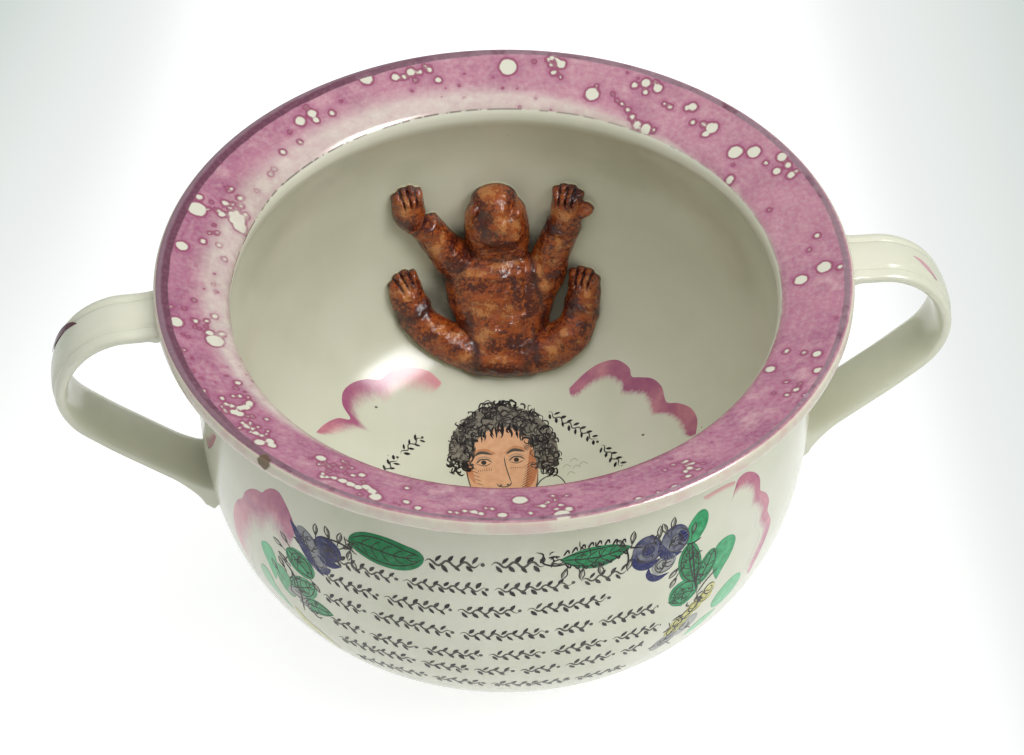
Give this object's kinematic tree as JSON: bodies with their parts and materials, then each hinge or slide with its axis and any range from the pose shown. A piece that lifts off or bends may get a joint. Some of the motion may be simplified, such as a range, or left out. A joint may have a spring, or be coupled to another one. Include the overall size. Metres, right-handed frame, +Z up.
{
  "type": "chamber pot",
  "caption": "Round glazed earthenware chamber pot with a wide flat rim, strap handles and a modelled frog climbing its inner wall.",
  "frame": {"origin": "on the ground under the middle of the whole pot, which is the axis of the bowl", "axes": "+Z up along the bowl's axis, +X along the line of the two handles, the frog on the wall at +Y"},
  "size_m": [0.3084, 0.235, 0.14],
  "materials": {
    "cream_glaze": "gloss",
    "brown_glaze": "gloss"
  },
  "bodies": {
    "root": {"pot_body": "cream_glaze", "left_handle": "cream_glaze", "right_handle": "cream_glaze", "frog_torso": "brown_glaze", "frog_head": "brown_glaze", "frog_left_arm": "brown_glaze", "frog_right_arm": "brown_glaze", "frog_left_hind_leg": "brown_glaze", "frog_right_hind_leg": "brown_glaze", "frog_left_hand": "brown_glaze", "frog_right_hand": "brown_glaze", "frog_left_foot": "brown_glaze", "frog_right_foot": "brown_glaze"}
  },
  "joints": []
}
